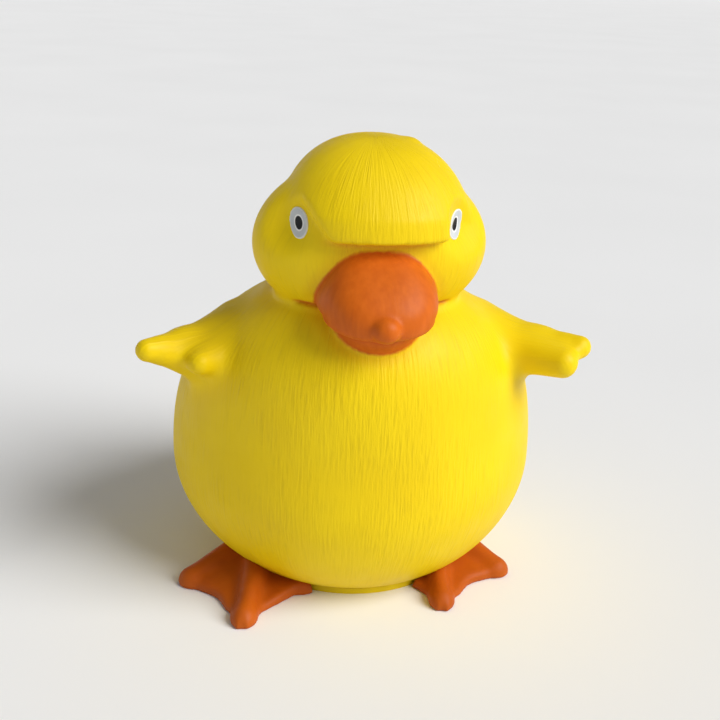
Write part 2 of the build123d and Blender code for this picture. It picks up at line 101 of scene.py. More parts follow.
def half_space(p, point, normal):
    """Negative behind the plane through point, on the side away from normal."""
    n = np.array(normal, float)
    n /= np.linalg.norm(n)
    return sum((p[i] - point[i]) * n[i] for i in range(3))


def from_line(a, b, a_centre=0.0, b_centre=0.0):
    """Distance from a line square to the axes of a and b, through their centres."""
    return np.sqrt((a - a_centre) ** 2 + (b - b_centre) ** 2)


def superellipse(a, b, power):
    """1 on a superellipse whose two axes are scaled to 1, less inside it."""
    return (a ** power + b ** power) ** (1.0 / power)


def ramp(value, low, high):
    """Smooth step from 0 at low to 1 at high."""
    t = np.clip((value - low) / (high - low), 0.0, 1.0)
    return t * t * (3.0 - 2.0 * t)


# ---------------------------------------------------------------- torso and tail
TORSO_HALF_WIDTH = 90.0
TORSO_HALF_DEPTH = 85.5
TORSO_EXTRA_DEPTH = 4.0                # added to the half depth at the floor
TORSO_EXTRA_TOP = 40.0                 # where that has faded out
TORSO_Y = 1.5                          # middle of the torso low down
TORSO_LEAN = 24.0                      # how far the middle comes forward
TORSO_LEAN_Z = (70.0, 165.0)           # over this height
WIDEST_Z = 58.0
BELOW_WIDEST, ABOVE_WIDEST = 70.0, 96.0
POWER_BELOW, POWER_ABOVE = 2.0, 2.25
TORSO_SCALE = 82.0                     # millimetres per unit of the level, on average

TAIL_ROOT, TAIL_ROOT_RADIUS = (0, 56, 84), 24
TAIL_TIP, TAIL_TIP_RADIUS = (0, 89.0, 107), 6.2
TAIL_WIDENING = 1.7                    # of its width over its height


def torso(p):
    x, y, z = p
    middle = TORSO_Y - TORSO_LEAN * ramp(z, *TORSO_LEAN_Z)
    half_depth = TORSO_HALF_DEPTH + TORSO_EXTRA_DEPTH * (1.0 - ramp(z, 0.0, TORSO_EXTRA_TOP))
    across = from_line(x / TORSO_HALF_WIDTH, (y - middle) / half_depth)
    below = z < WIDEST_Z
    up = np.abs(z - WIDEST_Z) / np.where(below, BELOW_WIDEST, ABOVE_WIDEST)
    level = superellipse(across, up, np.where(below, POWER_BELOW, POWER_ABOVE))
    return (level - 1.0) * TORSO_SCALE


def tail(p):
    narrowed = (p[0] / TAIL_WIDENING, p[1], p[2])
    return limb(narrowed, TAIL_ROOT, TAIL_TIP, TAIL_ROOT_RADIUS, TAIL_TIP_RADIUS)


# ---------------------------------------------------------------- head
EYE_CENTRE = (34.1, -53.0, 182.9)      # of the left eye, on the skin
EYE_NORMAL = (0.755, -0.656, 0.0)
SOCKET_RADIUS = 20.0
SOCKET_DROP = 0.5                      # depth of the socket's face behind the eye's centre
SOCKET_LIFT = 4.0                      # of the socket's middle above the eye
CHEEK_SOCKET_EXTRA = 0.8               # by which the socket in the cheeks is larger

# centre, radii below and above it on each axis, power
CHEEKS = ((0, -34, 170), (52.8, 33, 37), (52.8, 42, 38))
CRANIUM = ((1.4, -37.0, 177), (42.3, 37.5, 40.4), (42.3, 46, 40.4), 2.2)
CROWN_LEAN = 0.3                       # backwards per millimetre above CROWN_LEAN_FROM
CROWN_LEAN_FROM = 188.0
CROWN_NUB = ((16.5, -28.0, 213.0), (4.5, 4.5, 2.8))
BROW_LEDGE_Z = 178.0
# Folds between the brow and the eyes: half width at the ledge, and widening per millimetre above it
RIGHT_FOLD = (21.5, 0.72)
LEFT_FOLD = (29.0, 0.55)
FOLD_FADE = 30.0                       # extra half width behind the folds
FOLD_FADE_Y = (-54.0, -34.0)


def fold_edge(z, half_width, widening):
    return half_width + widening * (z - BROW_LEDGE_Z)


def head(p):
    side = (np.abs(p[0]), p[1], p[2])
    x, y, z = side
    socket_at = [c + n * (SOCKET_RADIUS - SOCKET_DROP) for c, n in zip(EYE_CENTRE, EYE_NORMAL)]
    socket_at[2] += SOCKET_LIFT
    socket = ellipsoid(side, socket_at, (SOCKET_RADIUS,) * 3)
    cheeks = smooth_cut(egg(p, *CHEEKS), socket - CHEEK_SOCKET_EXTRA, radius=5.0)
    leaning = (p[0], y - CROWN_LEAN * np.maximum(z - CROWN_LEAN_FROM, 0.0), z)
    cranium = smooth_union(egg(leaning, *CRANIUM), ellipsoid(p, *CROWN_NUB), radius=3.0)
    cranium = smooth_common(cranium, BROW_LEDGE_Z - z, radius=1.6)
    fold = np.where(p[0] < 0.0, fold_edge(z, *RIGHT_FOLD), fold_edge(z, *LEFT_FOLD))
    cranium = smooth_common(cranium, x - fold - FOLD_FADE * ramp(y, *FOLD_FADE_Y), radius=2.0)
    cranium = smooth_cut(cranium, socket, radius=1.4)
    return smooth_union(cheeks, cranium, radius=1.6)


# ---------------------------------------------------------------- bill
MOUTH_Y, MOUTH_Z = -53.0, 147.5        # a point on the line of the mouth
MOUTH_SLOPE = 0.2
LIP_GAP = 0.9                          # between the halves of the bill

UPPER_BILL_Y, UPPER_BILL_Z = -58.0, 151.0
UPPER_BILL_HALF_WIDTH = 26.3
UPPER_BILL_NARROWING = 4.0             # of the half width towards the top
UPPER_BILL_NARROWING_Z = (152.0, 174.0)
UPPER_BILL_HALF_LENGTH = 33.0
UPPER_BILL_HALF_HEIGHT = 26.0
UPPER_BILL_PLAN_POWER = 2.4
UPPER_BILL_POWER = 2.15
UPPER_BILL_SCALE = 25.0                # millimetres per unit of the level, on average
BRIDGE = ((0, -69, 174.5), (0, -23, 26))           # a point on it and its normal
NAIL = ((0, -89.5, 146.4), (6.2, 5.4, 5.6))        # the bump at the tip
LOWER_BILL = ((0, -60, 142), (19.5, 23, 14.5))

# Moulded line at each corner of the mouth
CORNER_X, CORNER_Z = 30.0, 146.9       # a point on it
CORNER_RISE = 0.06
CORNER_SPREAD = 0.9
CORNER_DEPTH = 1.5
CORNER_STARTS_X = (22.0, 25.0)
CORNER_ENDS_X = (31.0, 37.0)
CORNER_ENDS_Y = (-44.0, -38.0)


def mouth_height(y):
    """Height of the line of the mouth, which drops towards the tip of the bill."""
    return MOUTH_Z + MOUTH_SLOPE * (y - MOUTH_Y)


def upper_bill(p):
    x, y, z = p
    half_width = UPPER_BILL_HALF_WIDTH - UPPER_BILL_NARROWING * ramp(z, *UPPER_BILL_NARROWING_Z)
    along = np.abs(y - UPPER_BILL_Y) / UPPER_BILL_HALF_LENGTH
    plan = superellipse(np.abs(x) / half_width, along, UPPER_BILL_PLAN_POWER)
    level = superellipse(plan, np.abs(z - UPPER_BILL_Z) / UPPER_BILL_HALF_HEIGHT, UPPER_BILL_POWER)
    body = (level - 1.0) * UPPER_BILL_SCALE
    body = smooth_common(body, mouth_height(y) - z, radius=2.5)
    body = smooth_common(body, half_space(p, *BRIDGE), radius=9.0)
    return smooth_union(body, ellipsoid(p, *NAIL), radius=1.2)


def lower_bill(p):
    return smooth_common(ellipsoid(p, *LOWER_BILL), p[2] - mouth_height(p[1]) + LIP_GAP, radius=2.0)


def mouth_corners(p):
    """Depth of the moulded line at each corner of the mouth."""
    x, y, z = np.abs(p[0]), p[1], p[2]
    off_line = (z - CORNER_Z - CORNER_RISE * (x - CORNER_X)) / CORNER_SPREAD
    line = np.exp(-off_line ** 2) * ramp(x, *CORNER_STARTS_X)
    line = line * (1.0 - ramp(x, *CORNER_ENDS_X)) * (1.0 - ramp(y, *CORNER_ENDS_Y))
    return CORNER_DEPTH * line


# ---------------------------------------------------------------- wings
# By side, 1 for the left: end of the upper lobe and its radius, end of the lower lobe and its
# radius, root of the palm; all as if on the left
WING_ENDS = {
    1: ((99.2, -45.7, 123.3), 5.4, (88.5, -55.0, 118.8), 7.0, (68.0, -24.0, 110.0)),
    -1: ((99.2, -45.7, 123.3), 5.2, (76.0, -48.5, 118.0), 5.4, (67.0, -24.0, 104.5)),
}
SHOULDER, SHOULDER_RADIUS = (60, -14, 120), 14
WRIST, WRIST_RADIUS = (83, -33, 121), 7.5
PALM_END, PALM_ROOT_RADIUS, PALM_END_RADIUS = (92, -42, 120.5), 10, 4.5
LOWER_ROOT, LOWER_ROOT_RADIUS = (62, -28, 118), 11


def wing(p, side):
    """A raised wing like a mitten, one lobe above the other."""
    near = (side * p[0], p[1], p[2])
    upper_end, upper_radius, lower_end, lower_radius, palm_root = WING_ENDS[side]
    arm = limb(near, SHOULDER, WRIST, SHOULDER_RADIUS, WRIST_RADIUS)
    tip = limb(near, WRIST, upper_end, WRIST_RADIUS, upper_radius)
    palm = limb(near, palm_root, PALM_END, PALM_ROOT_RADIUS, PALM_END_RADIUS)
    lower = limb(near, LOWER_ROOT, lower_end, LOWER_ROOT_RADIUS, lower_radius)
    upper = smooth_union(smooth_union(arm, tip, radius=6.0), palm, radius=6.0)
    return smooth_union(upper, lower, radius=9.0)


def duck(p):
    """The duck's outer surface."""
    field = smooth_union(torso(p), head(p), radius=5.0)
    field = smooth_union(field, lower_bill(p), radius=2.5)
    field = smooth_union(field, upper_bill(p), radius=1.5)
    field = field + mouth_corners(p)
    for side in WING_ENDS:
        field = smooth_union(field, wing(p, side), radius=8.0)
    return smooth_union(field, tail(p), radius=14.0)


# ---------------------------------------------------------------- from fields to meshes
def sample(low, high, step):
    """Grid of points over a box, as three arrays that broadcast together."""
    axes = [np.arange(low[i], high[i] + step, step, dtype=np.float32) for i in range(3)]
    return axes[0][:, None, None], axes[1][None, :, None], axes[2][None, None, :]


def add_object(name, data):
    obj = bpy.data.objects.new(name, data)
    bpy.context.scene.collection.objects.link(obj)
    return obj


def skin_mesh(name, field, low, step):
    """Mesh of the field's zero surface, as a smooth-shaded object in metres."""
    grid = vdb.FloatGrid(background=10.0)
    grid.copyFromArray(np.ascontiguousarray(field, dtype=np.float32))
    grid.transform = vdb.createLinearTransform(voxelSize=step)
    points, quads = grid.convertToQuads(0.0)
    points = (points + np.array(low, dtype=np.float32)) * MM
    quads = quads[:, ::-1]
    mesh = bpy.data.meshes.new(name)
    mesh.vertices.add(len(points))
    mesh.vertices.foreach_set("co", points.astype(np.float32).ravel())
    mesh.loops.add(quads.size)
    mesh.loops.foreach_set("vertex_index", quads.astype(np.int32).ravel())
    mesh.polygons.add(len(quads))
    mesh.polygons.foreach_set("loop_start", np.arange(0, quads.size, 4, dtype=np.int32))
    mesh.polygons.foreach_set("use_smooth", np.ones(len(quads), dtype=bool))
    mesh.update(calc_edges=True)
    mesh.validate()
    return add_object(name, mesh)


def vertex_places(obj):
    """The mesh's vertices as three arrays in millimetres."""
    flat = np.zeros(len(obj.data.vertices) * 3, np.float32)
    obj.data.vertices.foreach_get("co", flat)
    return tuple(flat.reshape(-1, 3).T / MM)


def store(obj, name, values):
    """A number for each vertex, for the materials to read."""
    layer = obj.data.attributes.new(name, "FLOAT", "POINT")
    layer.data.foreach_set("value", np.ascontiguousarray(values, dtype=np.float32))


# ---------------------------------------------------------------- skin: front and rear shells
WALL = 2.5                             # thickness of the moulded skin
SEAM_Y = -20.0                         # plane where the front and rear shells meet
SEAM_GAP = 0.04
BELLY_Z = 4.0                          # underside of the skin, above the flange
BELLY_RIM_Z = 2.8                      # lowest edge of the skin, round the flange
FLANGE_RECESS_RADIUS = 54.2
WELL_OPENING_RADIUS = 47.0
WELL_OPENING_TOP = 12.0
GROMMET_Y = 34.0
GROMMET_HOLE_RADIUS = 5.5
GROMMET_HOLE_LOW = 110.0
LUG_Y, LUG_Z = 88.0, 44.0              # tether hole under the tail
LUG_RADIUS = 7.3
LUG_HALF_THICKNESS = 2.5
LUG_STEM_HALF_LENGTH = 6.0
TETHER_HOLE_RADIUS = 3.0

# Paint, as distances that the skin's material reads, and painted shade in the folds under the brow and at the
# mouth's corners
PAINT_TOP = 173.6                      # upper edge of the bill's paint
PAINT_REACH = (-3.0, 8.0)              # stored distances stop at these
BROW_SHADE_AND_OVERSPRAY = 0.55                       # strength of the painted shade under the brow, orange as from the bill's overspray
BROW_SHADE_Z = 176.8
BROW_SHADE_SPREAD = 1.2
BROW_SHADE_ENDS_X = (14.0, 30.0)
BROW_SHADE_ENDS_Y = (-64.0, -60.0)
# Painted shade in the moulded lines at the mouth's corners: at most this strength
CORNER_SHADE_MOST = 0.9


def outer_skin(p):
    """The duck's outside, with the belly cut level and recessed for the flange."""
    field = np.maximum(duck(p), BELLY_RIM_Z - p[2])
    recess = np.maximum(from_line(p[0], p[1]) - FLANGE_RECESS_RADIUS, p[2] - BELLY_Z)
    return np.maximum(field, -recess)


def tether_lug(p, outer):
    """Flat ear under the tail, on a stem that ends inside the skin's wall."""
    x, y, z = p
    ear = from_line(y, z, LUG_Y, LUG_Z) - LUG_RADIUS
    along_stem = np.abs(y - LUG_Y + LUG_STEM_HALF_LENGTH) - LUG_STEM_HALF_LENGTH
    stem = np.maximum(np.abs(z - LUG_Z) - LUG_RADIUS, along_stem)
    lug = smooth_common(np.minimum(ear, stem), np.abs(x) - LUG_HALF_THICKNESS, radius=1.0)
    return np.maximum(lug, -outer - WALL / 2)


def hollow_skin(p):
    """The moulded wall, with the tether lug and the openings for the well and the grommet."""
    x, y, z = p
    outer = outer_skin(p)
    wall = np.abs(outer + WALL / 2) - WALL / 2
    wall = smooth_union(wall, tether_lug(p, outer), radius=1.2)
    tether_hole = from_line(y, z, LUG_Y, LUG_Z) - TETHER_HOLE_RADIUS
    well_opening = np.maximum(from_line(x, y) - WELL_OPENING_RADIUS, z - WELL_OPENING_TOP)
    grommet_hole = from_line(x, y, 0.0, GROMMET_Y) - GROMMET_HOLE_RADIUS
    grommet_hole = np.maximum(grommet_hole, GROMMET_HOLE_LOW - z)
    for opening in (tether_hole, well_opening, grommet_hole):
        wall = np.maximum(wall, -opening)
    return wall


def shell_half(whole, name, direction):
    """The hollow skin in front of the seam (-1) or behind it (+1), closed at the seam."""
    bm = bmesh.new()
    bm.from_mesh(whole.data)
    seam = (0, (SEAM_Y + direction * SEAM_GAP / 2) * MM, 0)
    everything = bm.verts[:] + bm.edges[:] + bm.faces[:]
    bmesh.ops.bisect_plane(bm, geom=everything, plane_co=seam, plane_no=(0, -direction, 0), clear_outer=True)
    rim = [edge for edge in bm.edges if edge.is_boundary]
    bmesh.ops.triangle_fill(bm, edges=rim, use_beauty=True)
    for edge in rim:
        edge.smooth = False
    bmesh.ops.recalc_face_normals(bm, faces=bm.faces[:])
    mesh = bpy.data.meshes.new(name)
    bm.to_mesh(mesh)
    bm.free()
    return add_object(name, mesh)


def store_paint(piece):
    """Distance from the bill's paint, and the strength of the painted shade in the folds, orange as from
    overspray.
    """
    at = vertex_places(piece)
    bill = np.maximum(np.minimum(upper_bill(at), lower_bill(at)), at[2] - PAINT_TOP)
    store(piece, "bill", np.clip(bill, *PAINT_REACH))
    brow = np.exp(-((at[2] - BROW_SHADE_Z) / BROW_SHADE_SPREAD) ** 2)
    brow = brow * (1.0 - ramp(np.abs(at[0]), *BROW_SHADE_ENDS_X))
    brow = brow * (1.0 - ramp(at[1], *BROW_SHADE_ENDS_Y))
    store(piece, "fold_shade_and_overspray", np.maximum(BROW_SHADE_AND_OVERSPRAY * brow, np.clip(mouth_corners(at), 0.0, CORNER_SHADE_MOST)))


skin_field = hollow_skin(sample(SKIN_GRID_LOW, SKIN_GRID_HIGH, STEP))
whole_skin = skin_mesh("duck_skin", skin_field, SKIN_GRID_LOW, STEP)
front_skin = shell_half(whole_skin, "duck_front", -1)
rear_skin = shell_half(whole_skin, "duck_rear", 1)
bpy.data.objects.remove(whole_skin)
for piece, node in ((front_skin, "front_shell"), (rear_skin, "rear_shell")):
    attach(piece, "float_body")
    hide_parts(node)
    store_paint(piece)

# ---------------------------------------------------------------- eyes
EYE_HALF_WIDTH = 5.2
EYE_HALF_HEIGHT = 6.5
EYE_LEAN = 0.28                        # outwards per millimetre of height
EYE_PROUD = 0.5                        # of the skin
EYE_SUNK = 0.4
EYE_GRID_REACH = 11.0
PUPIL_HALF_WIDTH = 2.15
PUPIL_HALF_HEIGHT = 2.75


def eye_offsets(p, side):
    """Distances across and up from the eye's centre, over its face."""
    across = (p[0] - side * EYE_CENTRE[0]) * -EYE_NORMAL[1] + (p[1] - EYE_CENTRE[1]) * side * EYE_NORMAL[0]
    up = p[2] - EYE_CENTRE[2]
    return across - side * EYE_LEAN * up, up


def eye_field(p, side):
    """A thin oval leaf that follows the skin."""
    across, up = eye_offsets(p, side)
    oval = (from_line(across / EYE_HALF_WIDTH, up / EYE_HALF_HEIGHT) - 1.0) * EYE_HALF_WIDTH
    leaf = np.abs(duck(p) - (EYE_PROUD - EYE_SUNK) / 2) - (EYE_PROUD + EYE_SUNK) / 2
    return smooth_common(leaf, oval, radius=0.5)


eyes = []
for side, name in ((1, "left_eye"), (-1, "right_eye")):
    middle = np.array([side * EYE_CENTRE[0], EYE_CENTRE[1], EYE_CENTRE[2]])
    low = tuple(middle - EYE_GRID_REACH)
    points = sample(low, tuple(middle + EYE_GRID_REACH), FINE_STEP)
    eye = skin_mesh("duck_" + name, eye_field(points, side), low, FINE_STEP)
    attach(eye, "float_body")
    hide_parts(name)
    across, up = eye_offsets(vertex_places(eye), side)
    store(eye, "pupil", from_line(across / PUPIL_HALF_WIDTH, up / PUPIL_HALF_HEIGHT))
    store(eye, "rim", from_line(across / EYE_HALF_WIDTH, up / EYE_HALF_HEIGHT))
    eyes.append(eye)

# ---------------------------------------------------------------- breather grommet
LIP_RADIUS = 8.2
LIP_THICKNESS = 1.5
TUBE_RADIUS = 4.0
PLUG_PLAY = 0.05                       # between the grommet and the hole in the skin
BORE_PLAY = 0.02                       # between the grommet and the tube
GROMMET_LOW, GROMMET_HIGH = 122.0, 143.0
GROMMET_GRID_LOW = (-12.0, GROMMET_Y - 12.0, GROMMET_LOW - 2.0)
GROMMET_GRID_HIGH = (12.0, GROMMET_Y + 12.0, GROMMET_HIGH + 6.0)


def grommet_field(p):
    """A lip that lies on the skin, over a plug that fills its hole, round the tube."""
    depth = duck(p)
    from_tube = from_line(p[0], p[1], 0.0, GROMMET_Y)
    lip_face = np.abs(depth - LIP_THICKNESS / 2) - LIP_THICKNESS / 2
    lip = smooth_common(from_tube - LIP_RADIUS, lip_face, radius=1.0)
    plug = np.maximum(from_tube - GROMMET_HOLE_RADIUS + PLUG_PLAY, depth - LIP_THICKNESS / 2)
    plug = np.maximum(plug, GROMMET_LOW - p[2])
    field = smooth_cut(np.minimum(lip, plug), from_tube - TUBE_RADIUS - BORE_PLAY, radius=0.3)
    return np.maximum(field, p[2] - GROMMET_HIGH)


grommet_points = sample(GROMMET_GRID_LOW, GROMMET_GRID_HIGH, FINE_STEP)
grommet_piece = skin_mesh("moulded_grommet", grommet_field(grommet_points), GROMMET_GRID_LOW, FINE_STEP)
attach(grommet_piece, "float_body")
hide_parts("breather_grommet")

# ---------------------------------------------------------------- webbed feet
# name, ankle, turn outwards in degrees, side
FEET = (
    ("right_foot", (-45.0, -16.0), 12.0, -1),
    ("left_foot", (42.5, -7.0), -5.0, 1),
)
# Outwards and forwards of the ankle
HEEL = (0.0, -6.0)
TOES = ((31.0, 29.5), (0.0, 59.0), (-24.0, 27.0))
NOTCHES = ((25.3, 52.0), (-21.7, 57.0))
NOTCH_RADIUS = 15.0
WEB_THICKNESS = 2.6
WEB_RISE = 9.0                         # of the web at the ankle
WEB_RISE_ENDS = (8.0, 60.0)
WEB_BORDER = 1.5                       # outside the lines between the toes
ANKLE_TOP = 15.0
ANKLE_PAD = ((0, 0, 2), (17, 17, ANKLE_TOP))
TOE_ROOT_RADIUS = 7.0
TOE_END_RADIUS = 3.9
TOE_PAD_Z = 0.6
TOE_PAD_RADII = (5.6, 5.6, 4.6)
FLANGE_CLEAR_RADIUS = 56.5
FOOT_BITE = 0.35                       # of the foot into the skin
SOLE_Z = 0.02
FOOT_GRID_LOW = (-50.0, -72.0, -3.2)   # from the ankle
FOOT_GRID_HIGH = (50.0, 26.0, 30.0)


def triangle(out, ahead, points):
    """Plan of a triangle, negative inside."""
    sides = []
    for i in range(3):
        a, b = points[i], points[(i + 1) % 3]
        edge = np.array([b[0] - a[0], b[1] - a[1]])
        edge /= np.linalg.norm(edge)
        sides.append((out - a[0]) * edge[1] - (ahead - a[1]) * edge[0])
    return np.max(sides, axis=0)


def foot(p, ankle, turn, side):
    """One webbed foot, before the belly, the floor and the flange cut it."""
    c, s = cos(radians(turn)), sin(radians(turn))
    out = (p[0] - ankle[0]) * side * c + (p[1] - ankle[1]) * s
    ahead = (p[0] - ankle[0]) * side * s - (p[1] - ankle[1]) * c
    own = (out, ahead, p[2])
    plan = np.min([triangle(out, ahead, (HEEL, *pair)) for pair in zip(TOES[:-1], TOES[1:])], axis=0)
    for notch in NOTCHES:
        plan = smooth_cut(plan, from_line(out, ahead, *notch) - NOTCH_RADIUS, radius=3.0)
    web = p[2] - WEB_THICKNESS - WEB_RISE * (1.0 - ramp(from_line(out, ahead), *WEB_RISE_ENDS))
    field = smooth_common(web, plan - WEB_BORDER, radius=3.0)
    for toe in TOES:
        ridge = limb(own, (0, 0, ANKLE_TOP), (*toe, TOE_END_RADIUS), TOE_ROOT_RADIUS, TOE_END_RADIUS)
        field = smooth_union(field, ridge, radius=5.0)
        field = smooth_union(field, ellipsoid(own, (*toe, TOE_PAD_Z), TOE_PAD_RADII), radius=5.0)
    return smooth_union(field, ellipsoid(own, *ANKLE_PAD), radius=6.0)


feet = []
for name, ankle, turn, side in FEET:
    low, high = [(ankle[0] + end[0], ankle[1] + end[1], end[2]) for end in (FOOT_GRID_LOW, FOOT_GRID_HIGH)]
    points = sample(low, high, FOOT_STEP)
    field = foot(points, ankle, turn, side)
    field = np.maximum(field, -FOOT_BITE - torso(points))
    field = np.maximum(field, SOLE_Z - points[2])
    field = np.maximum(field, FLANGE_CLEAR_RADIUS - from_line(points[0], points[1]))
    webbed = skin_mesh("duck_" + name, field, low, FOOT_STEP)
    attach(webbed, "float_body")
    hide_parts(name)
    feet.append(webbed)


# ---------------------------------------------------------------- materials
class Look:
    """A Principled material with small helpers that add and join procedural nodes."""

    def __init__(self, name, roughness, metallic=0.0):
        self.mat = bpy.data.materials.new(name)
        self.mat.use_nodes = True
        self.tree = self.mat.node_tree
        self.shader = self.tree.nodes["Principled BSDF"]
        self.shader.inputs["Roughness"].default_value = roughness
        self.shader.inputs["Metallic"].default_value = metallic
        self.shader.inputs["Specular IOR Level"].default_value = 0.5 if metallic else 0.2
        self.where = self.tree.nodes.new("ShaderNodeTexCoord").outputs["Object"]

    def feed(self, value, socket):
        """Joins another node's output to the socket, or sets it to a number, vector or colour."""
        if isinstance(value, bpy.types.NodeSocket):
            self.tree.links.new(value, socket)
        elif socket.type == "RGBA":
            socket.default_value = (*value, 1.0)
        else:
            socket.default_value = value

    def height(self):
        node = self.tree.nodes.new("ShaderNodeSeparateXYZ")
        self.feed(self.where, node.inputs["Vector"])
        return node.outputs["Z"]

    def vector(self, operation, a, b=(0.0, 0.0, 0.0)):
        node = self.tree.nodes.new("ShaderNodeVectorMath")
        node.operation = operation
        self.feed(a, node.inputs[0])
        self.feed(b, node.inputs[1])
        return node.outputs["Vector"]

    def around(self, centre_y, radius):
        """Coordinates on an upright drum round x = 0, y = centre_y, squeezed along its height."""
        flat = self.vector("MULTIPLY", self.where, (1.0, 1.0, 0.0))
        flat = self.vector("SUBTRACT", flat, (0.0, centre_y, 0.0))
        flat = self.vector("NORMALIZE", flat)
        flat = self.vector("MULTIPLY", flat, (radius, radius, 0.0))
        return self.vector("ADD", flat, self.vector("MULTIPLY", self.where, (0.0, 0.0, DRUM_SQUEEZE)))

    def blend(self, factor, a, b):
        """Number between a and b."""
        node = self.tree.nodes.new("ShaderNodeMix")
        for value, index in ((factor, 0), (a, 2), (b, 3)):
            self.feed(value, node.inputs[index])
        return node.outputs[0]

    def mix(self, factor, a, b):
        """Colour between a and b."""
        node = self.tree.nodes.new("ShaderNodeMix")
        node.data_type = "RGBA"
        for value, index in ((factor, 0), (a, 6), (b, 7)):
            self.feed(value, node.inputs[index])
        return node.outputs[2]

    def noise(self, scale, detail=3.0, stretch=None, source=None):
        """Noise over the piece; stretch multiplies the coordinates on each axis."""
        node = self.tree.nodes.new("ShaderNodeTexNoise")
        node.inputs["Scale"].default_value = scale
        node.inputs["Detail"].default_value = detail
        source = source or self.where
        if stretch:
            mapping = self.tree.nodes.new("ShaderNodeMapping")
            mapping.inputs["Scale"].default_value = stretch
            self.feed(self.where, mapping.inputs["Vector"])
            source = mapping.outputs["Vector"]
        self.feed(source, node.inputs["Vector"])
        return node.outputs["Fac"]

    def stored(self, name):
        node = self.tree.nodes.new("ShaderNodeAttribute")
        node.attribute_name = name
        return node.outputs["Fac"]

    def spread(self, source, low, high, to_low=0.0, to_high=1.0):
        """Maps a range of source to another range, clamped."""
        node = self.tree.nodes.new("ShaderNodeMapRange")
        node.inputs["From Min"].default_value = low
        node.inputs["From Max"].default_value = high
        node.inputs["To Min"].default_value = to_low
        node.inputs["To Max"].default_value = to_high
        self.feed(source, node.inputs["Value"])
        return node.outputs["Result"]

    def clouds(self, source, to_low=0.0, to_high=1.0):
        """The middle of a noise's range, mapped to another range."""
        return self.spread(source, 0.3, 0.7, to_low, to_high)

    def maths(self, operation, a, b):
        node = self.tree.nodes.new("ShaderNodeMath")
        node.operation = operation
        self.feed(a, node.inputs[0])
        self.feed(b, node.inputs[1])
        return node.outputs["Value"]

    def colour(self, source):
        self.feed(source, self.shader.inputs["Base Color"])

    def roughness(self, source):
        self.feed(source, self.shader.inputs["Roughness"])

    def bump(self, height, depth, strength=1.0, under=None):
        """Bump of the given depth in metres, on top of an earlier one."""
        node = self.tree.nodes.new("ShaderNodeBump")
        node.inputs["Distance"].default_value = depth
        node.inputs["Strength"].default_value = strength
        self.feed(height, node.inputs["Height"])
        if under is not None:
            self.feed(under, node.inputs["Normal"])
        self.feed(node.outputs["Normal"], self.shader.inputs["Normal"])
        return node.outputs["Normal"]


# Colours, linear RGB; the first of a pair is the plain colour, the second its darker clouds
SKIN_YELLOW = ((0.90, 0.655, 0.002), (0.84, 0.590, 0.001))
# Painted shade along the skin's moulded streaks
STREAK_SHADE_YELLOW = (0.66, 0.45, 0.001)
BILL_ORANGE = ((0.66, 0.135, 0.006), (0.58, 0.108, 0.003))
OVERSPRAY_ORANGE = (0.76, 0.36, 0.004)
# Painted shade in the folds under the brow and at the mouth's corners, orange as from overspray
FOLD_SHADE_ORANGE = (0.66, 0.20, 0.004)
FOOT_ORANGE = ((0.50, 0.100, 0.004), (0.42, 0.075, 0.002))
EYE_GREY = ((0.62, 0.65, 0.66), (0.54, 0.57, 0.585))
EYE_RIM = (0.80, 0.81, 0.80)
PUPIL_RING = (0.86, 0.86, 0.85)
PUPIL_BLACK = ((0.006, 0.006, 0.007), (0.012, 0.012, 0.012))
TABLET_WHITE = ((0.86, 0.87, 0.85), (0.76, 0.78, 0.77))
TABLET_SPECKS = (0.60, 0.66, 0.68)
STEEL_GREY = ((0.62, 0.62, 0.63), (0.48, 0.48, 0.5))
BALLAST_GREY = ((0.16, 0.16, 0.17), (0.09, 0.09, 0.10))
SEAL_CREAM = ((0.72, 0.70, 0.60), (0.62, 0.60, 0.50))
WELL_YELLOW = ((0.80, 0.60, 0.006), (0.70, 0.50, 0.004))
BASKET_GREY = ((0.70, 0.74, 0.76), (0.60, 0.65, 0.68))
CAP_BLUE = ((0.020, 0.11, 0.26), (0.014, 0.08, 0.20))
DIAL_WHITE = ((0.74, 0.75, 0.74), (0.64, 0.66, 0.65))
FLOOR_WHITE = ((0.92, 0.92, 0.92), (0.90, 0.90, 0.90))

# Moulded streaks of the skin, wrapped round two drums in metres: centre Y and radius
BODY_DRUM = (0.0, 0.080)
HEAD_DRUM = (-0.034, 0.046)
DRUM_SQUEEZE = 0.1                     # of the streaks' pattern along the height
NECK = (0.140, 0.150)                  # heights between which the body's streaks give way to the head's
STREAK_SCALE = 900.0
STREAK_DEPTH = 0.0007


def moulded(name, colours, roughness):
    """Moulded plastic: clouded colour, fine grain and uneven polish."""
    look = Look(name, roughness)
    look.colour(look.mix(look.spread(look.noise(45.0, 4.0), 0.35, 0.68), *colours))
    look.roughness(look.clouds(look.noise(120.0), roughness - 0.07, roughness + 0.09))
    look.bump(look.noise(900.0, 2.0), 0.00006, 0.6)
    return look.mat


